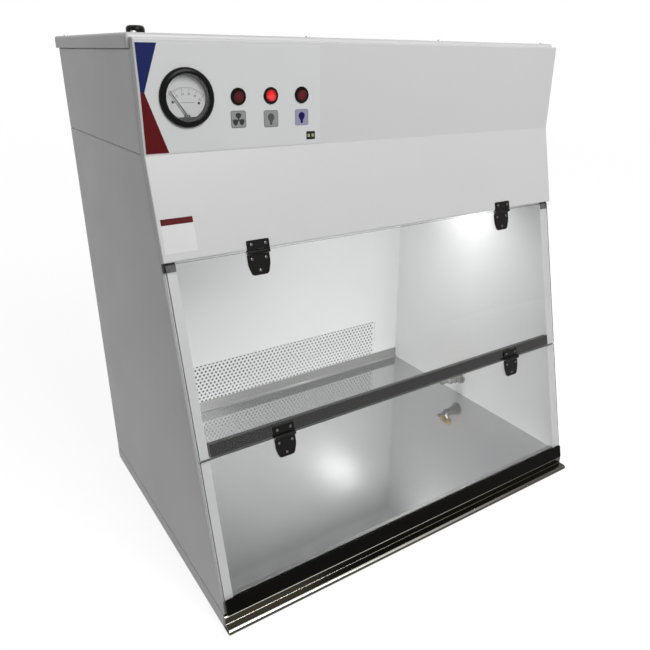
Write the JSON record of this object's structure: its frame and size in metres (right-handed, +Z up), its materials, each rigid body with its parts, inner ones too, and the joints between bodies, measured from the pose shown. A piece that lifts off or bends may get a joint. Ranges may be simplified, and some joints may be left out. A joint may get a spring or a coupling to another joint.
{
  "type": "laminar flow hood",
  "caption": "Bench-top clean-air cabinet: fan and filter head over a lit chamber with a leaning, folding clear sash, stainless worktop, rear grille and gas valve.",
  "frame": {"origin": "on the surface the hood stands on, under the middle of its overall width and depth", "axes": "+X to the viewer's right when facing the sash, -Y out of the front, +Z up"},
  "size_m": [0.808, 0.608, 0.881],
  "materials": {
    "white_paint": "smooth white powder coat",
    "galvanised": "dull zinc-coated sheet",
    "motor_paint": "satin black paint",
    "stainless": "brushed stainless sheet",
    "polished_stainless": "polished stainless sheet",
    "clear_pane": "clear, polished",
    "lens": "clear, polished",
    "black_plastic": "satin black",
    "black_gloss": "glossy black",
    "red_rocker": "glossy dark red, lit from inside when on",
    "hinge_pin": "bright drawn wire",
    "label": "satin printed film",
    "dial": "matt white print face",
    "pointer": "matt black",
    "filter_frame": "plain extruded",
    "filter_paper": "white pleated paper",
    "filter_pad": "white fibre pad",
    "lamp_white": "frosted white tube",
    "lamp_clear": "clear tube",
    "lamp_holder": "white moulded plastic",
    "rubber": "matt black rubber",
    "nickel": "dull nickel plate",
    "brass": "turned and cast brass"
  },
  "bodies": {
    "cabinet": {"base_tray": "white_paint", "rubber_feet": "rubber", "front_rail": "polished_stainless", "work_surface": "stainless", "left_side_panel": "white_paint", "right_side_panel": "white_paint", "left_liner": "white_paint", "right_liner": "white_paint", "rear_panel": "white_paint", "rear_skirting": "white_paint", "rear_grille": "white_paint", "head_left_panel": "white_paint", "head_right_panel": "white_paint", "top_cap": "white_paint", "cable_gland": "black_plastic", "prefilter_frame": "galvanised", "prefilter_pad": "filter_pad", "fascia": "white_paint", "control_overlay": "label", "gauge_case": "black_plastic", "gauge_bezel": "black_gloss", "gauge_lens": "lens", "gauge_dial": "dial", "fan_switch_body": "black_gloss", "lamp_switch_body": "black_gloss", "uv_switch_body": "black_gloss", "ceiling_panel": "white_paint", "diffuser": "white_paint", "hepa_frame": "filter_frame", "hepa_media": "filter_paper", "plenum_front": "galvanised", "fan_deck": "galvanised", "inlet_ring": "galvanised", "fan_motor": "motor_paint", "motor_bracket": "galvanised", "lamp_holders": "lamp_holder", "lamp_tube": "lamp_white", "uv_tube": "lamp_clear", "sash_pads": "rubber", "top_hinge_fixed_leaves": "black_plastic", "top_hinge_pins": "hinge_pin", "valve_body": "nickel", "gas_pipe": "brass", "gas_inlet": "brass"},
    "upper_sash": {"upper_sash_pane": "clear_pane", "sash_bar": "black_plastic", "top_hinge_moving_leaves": "black_plastic", "mid_hinge_upper_leaves": "black_plastic", "mid_hinge_pins": "hinge_pin"},
    "lower_sash": {"lower_sash_pane": "clear_pane", "bottom_strip": "black_plastic", "mid_hinge_lower_leaves": "black_plastic"},
    "fan_rocker": {"fan_rocker": "red_rocker"},
    "lamp_rocker": {"lamp_rocker": "red_rocker"},
    "uv_rocker": {"uv_rocker": "red_rocker"},
    "gauge_pointer": {"gauge_pointer": "pointer"},
    "valve_handle": {"valve_handle": "brass"},
    "fan_wheel": {"fan_wheel": "galvanised"}
  },
  "joints": [
    {"name": "upper_sash_hinge", "type": "hinge", "parent": "cabinet", "child": "upper_sash", "pos_m": [0, -0.16498, 0.56993], "axis": [-1, 0, 0], "range_deg": [0, 100]},
    {"name": "lower_sash_fold", "type": "hinge", "parent": "upper_sash", "child": "lower_sash", "pos_m": [0, -0.23271, 0.28564], "axis": [-1, 0, 0], "range_deg": [0, 175]},
    {"name": "fan_switch_rock", "type": "hinge", "parent": "cabinet", "child": "fan_rocker", "pos_m": [-0.2602, -0.1326, 0.785], "axis": [-1, 0, 0], "range_deg": [0, 16]},
    {"name": "lamp_switch_rock", "type": "hinge", "parent": "cabinet", "child": "lamp_rocker", "pos_m": [-0.2092, -0.1326, 0.785], "axis": [-1, 0, 0], "range_deg": [-16, 0]},
    {"name": "uv_switch_rock", "type": "hinge", "parent": "cabinet", "child": "uv_rocker", "pos_m": [-0.1582, -0.1326, 0.785], "axis": [-1, 0, 0], "range_deg": [0, 16]},
    {"name": "gauge_pointer_turn", "type": "hinge", "parent": "cabinet", "child": "gauge_pointer", "pos_m": [-0.3348, -0.13, 0.7617], "axis": [0, 1, 0], "range_deg": [0, 70], "stiffness_Nm_per_rad": 0.0001},
    {"name": "valve_handle_turn", "type": "hinge", "parent": "cabinet", "child": "valve_handle", "pos_m": [0.346, 0.018, 0.118], "axis": [0, 0, 1], "range_deg": [0, 90]},
    {"name": "fan_wheel_spin", "type": "hinge", "parent": "cabinet", "child": "fan_wheel", "pos_m": [0, 0.08, 0.7], "axis": [0, 0, 1], "continuous": true}
  ]
}
